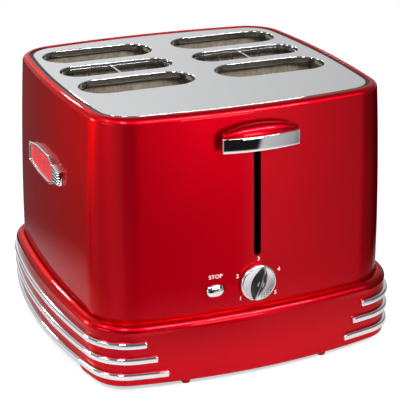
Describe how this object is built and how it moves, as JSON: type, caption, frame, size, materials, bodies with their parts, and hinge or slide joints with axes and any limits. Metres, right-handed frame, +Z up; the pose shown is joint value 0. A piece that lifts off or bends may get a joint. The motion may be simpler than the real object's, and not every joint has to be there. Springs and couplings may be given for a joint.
{
  "type": "hot dog toaster",
  "caption": "Retro pop-up toaster for hot dogs and buns: bowed red body, flared base with chrome strips, slotted mirror top, front lever, timer knob and stop button.",
  "frame": {"origin": "on the surface it stands on, under the middle of its overall width and depth", "axes": "+Z up, front with lever and knob towards -Y, +X to the right seen from the front"},
  "size_m": [0.307, 0.2918, 0.233],
  "materials": {
    "red_paint": "candy red metallic paint",
    "red_plastic": "glossy red moulding",
    "chrome_trim": "bright chrome",
    "badge_red": "glossy bright red",
    "polished_steel": "mirror-polished stainless steel",
    "black_gasket": "matt black",
    "black_plastic": "matt black moulding",
    "mica": "mica sheet",
    "heating_ribbon": "flat resistance ribbon",
    "chromed_wire": "bright wire",
    "bright_steel": "bright drawn steel",
    "steel_sheet": "plain plated sheet",
    "circuit_board": "green board",
    "dark_component": "dark moulding"
  },
  "bodies": {
    "housing": {"body_shell": "red_paint", "base_skirt": "red_plastic", "bottom_cover": "black_plastic", "feet": "red_plastic", "bottom_screws": "bright_steel", "top_plate": "polished_steel", "plate_gasket": "black_gasket", "chrome_strip_left_lower": "chrome_trim", "chrome_strip_left_middle": "chrome_trim", "chrome_strip_left_upper": "chrome_trim", "chrome_strip_right_lower": "chrome_trim", "chrome_strip_right_middle": "chrome_trim", "chrome_strip_right_upper": "chrome_trim", "badge_frame": "chrome_trim", "badge_insert": "badge_red", "badge_fluted_end": "chrome_trim", "cord_gland": "black_plastic", "floor_frame": "steel_sheet", "end_plate_left": "steel_sheet", "end_plate_right": "steel_sheet", "centre_wall_left": "steel_sheet", "centre_wall_right": "steel_sheet", "heat_shield_front": "steel_sheet", "heat_shield_rear": "steel_sheet", "heater_boards_front": "mica", "heater_boards_front_middle": "mica", "heater_boards_rear_middle": "mica", "heater_boards_rear": "mica", "heating_ribbons_front": "heating_ribbon", "heating_ribbons_front_middle": "heating_ribbon", "heating_ribbons_rear_middle": "heating_ribbon", "heating_ribbons_rear": "heating_ribbon", "guard_wires_front": "chromed_wire", "guard_wires_rear": "chromed_wire", "top_bridge": "steel_sheet", "guide_rod_front": "bright_steel", "guide_rod_rear": "bright_steel", "latch_magnet": "dark_component", "timer_potentiometer": "dark_component", "stop_switch": "dark_component", "control_board": "circuit_board"},
    "carriage": {"carriage_spine": "steel_sheet", "lever_arm": "steel_sheet", "lever_handle": "red_plastic", "lever_chrome_band": "chrome_trim", "lifter_front": "steel_sheet", "lifter_middle": "steel_sheet", "lifter_rear": "steel_sheet", "latch_keeper": "steel_sheet", "carriage_spring": "bright_steel"},
    "timer": {"timer_knob": "chrome_trim", "timer_shaft": "bright_steel"},
    "stop": {"stop_button": "chrome_trim"},
    "tray": {"crumb_tray": "steel_sheet", "crumb_tray_door": "red_plastic"},
    "cage_left": {"hot_dog_cage_left": "chromed_wire"},
    "cage_right": {"hot_dog_cage_right": "chromed_wire"}
  },
  "joints": [
    {"name": "lever_press", "type": "slide", "parent": "housing", "child": "carriage", "axis": [0, 0, -1], "range_m": [0, 0.094], "stiffness_N_per_m": 60, "springref_m": -0.09, "deforming": ["carriage_spring"]},
    {"name": "timer_turn", "type": "hinge", "parent": "housing", "child": "timer", "pos_m": [0, -0.135, 0.082], "axis": [0, 1, 0], "range_deg": [0, 286]},
    {"name": "stop_press", "type": "slide", "parent": "housing", "child": "stop", "axis": [0, 1, 0], "range_m": [0, 0.0025], "stiffness_N_per_m": 500, "springref_m": -0.0005},
    {"name": "crumb_tray_pull", "type": "slide", "parent": "housing", "child": "tray", "axis": [0, 1, 0], "range_m": [0, 0.19]},
    {"name": "cage_left_lift", "type": "slide", "parent": "carriage", "child": "cage_left", "axis": [0, 0, 1], "range_m": [0, 0.095]},
    {"name": "cage_right_lift", "type": "slide", "parent": "carriage", "child": "cage_right", "axis": [0, 0, 1], "range_m": [0, 0.095]}
  ]
}
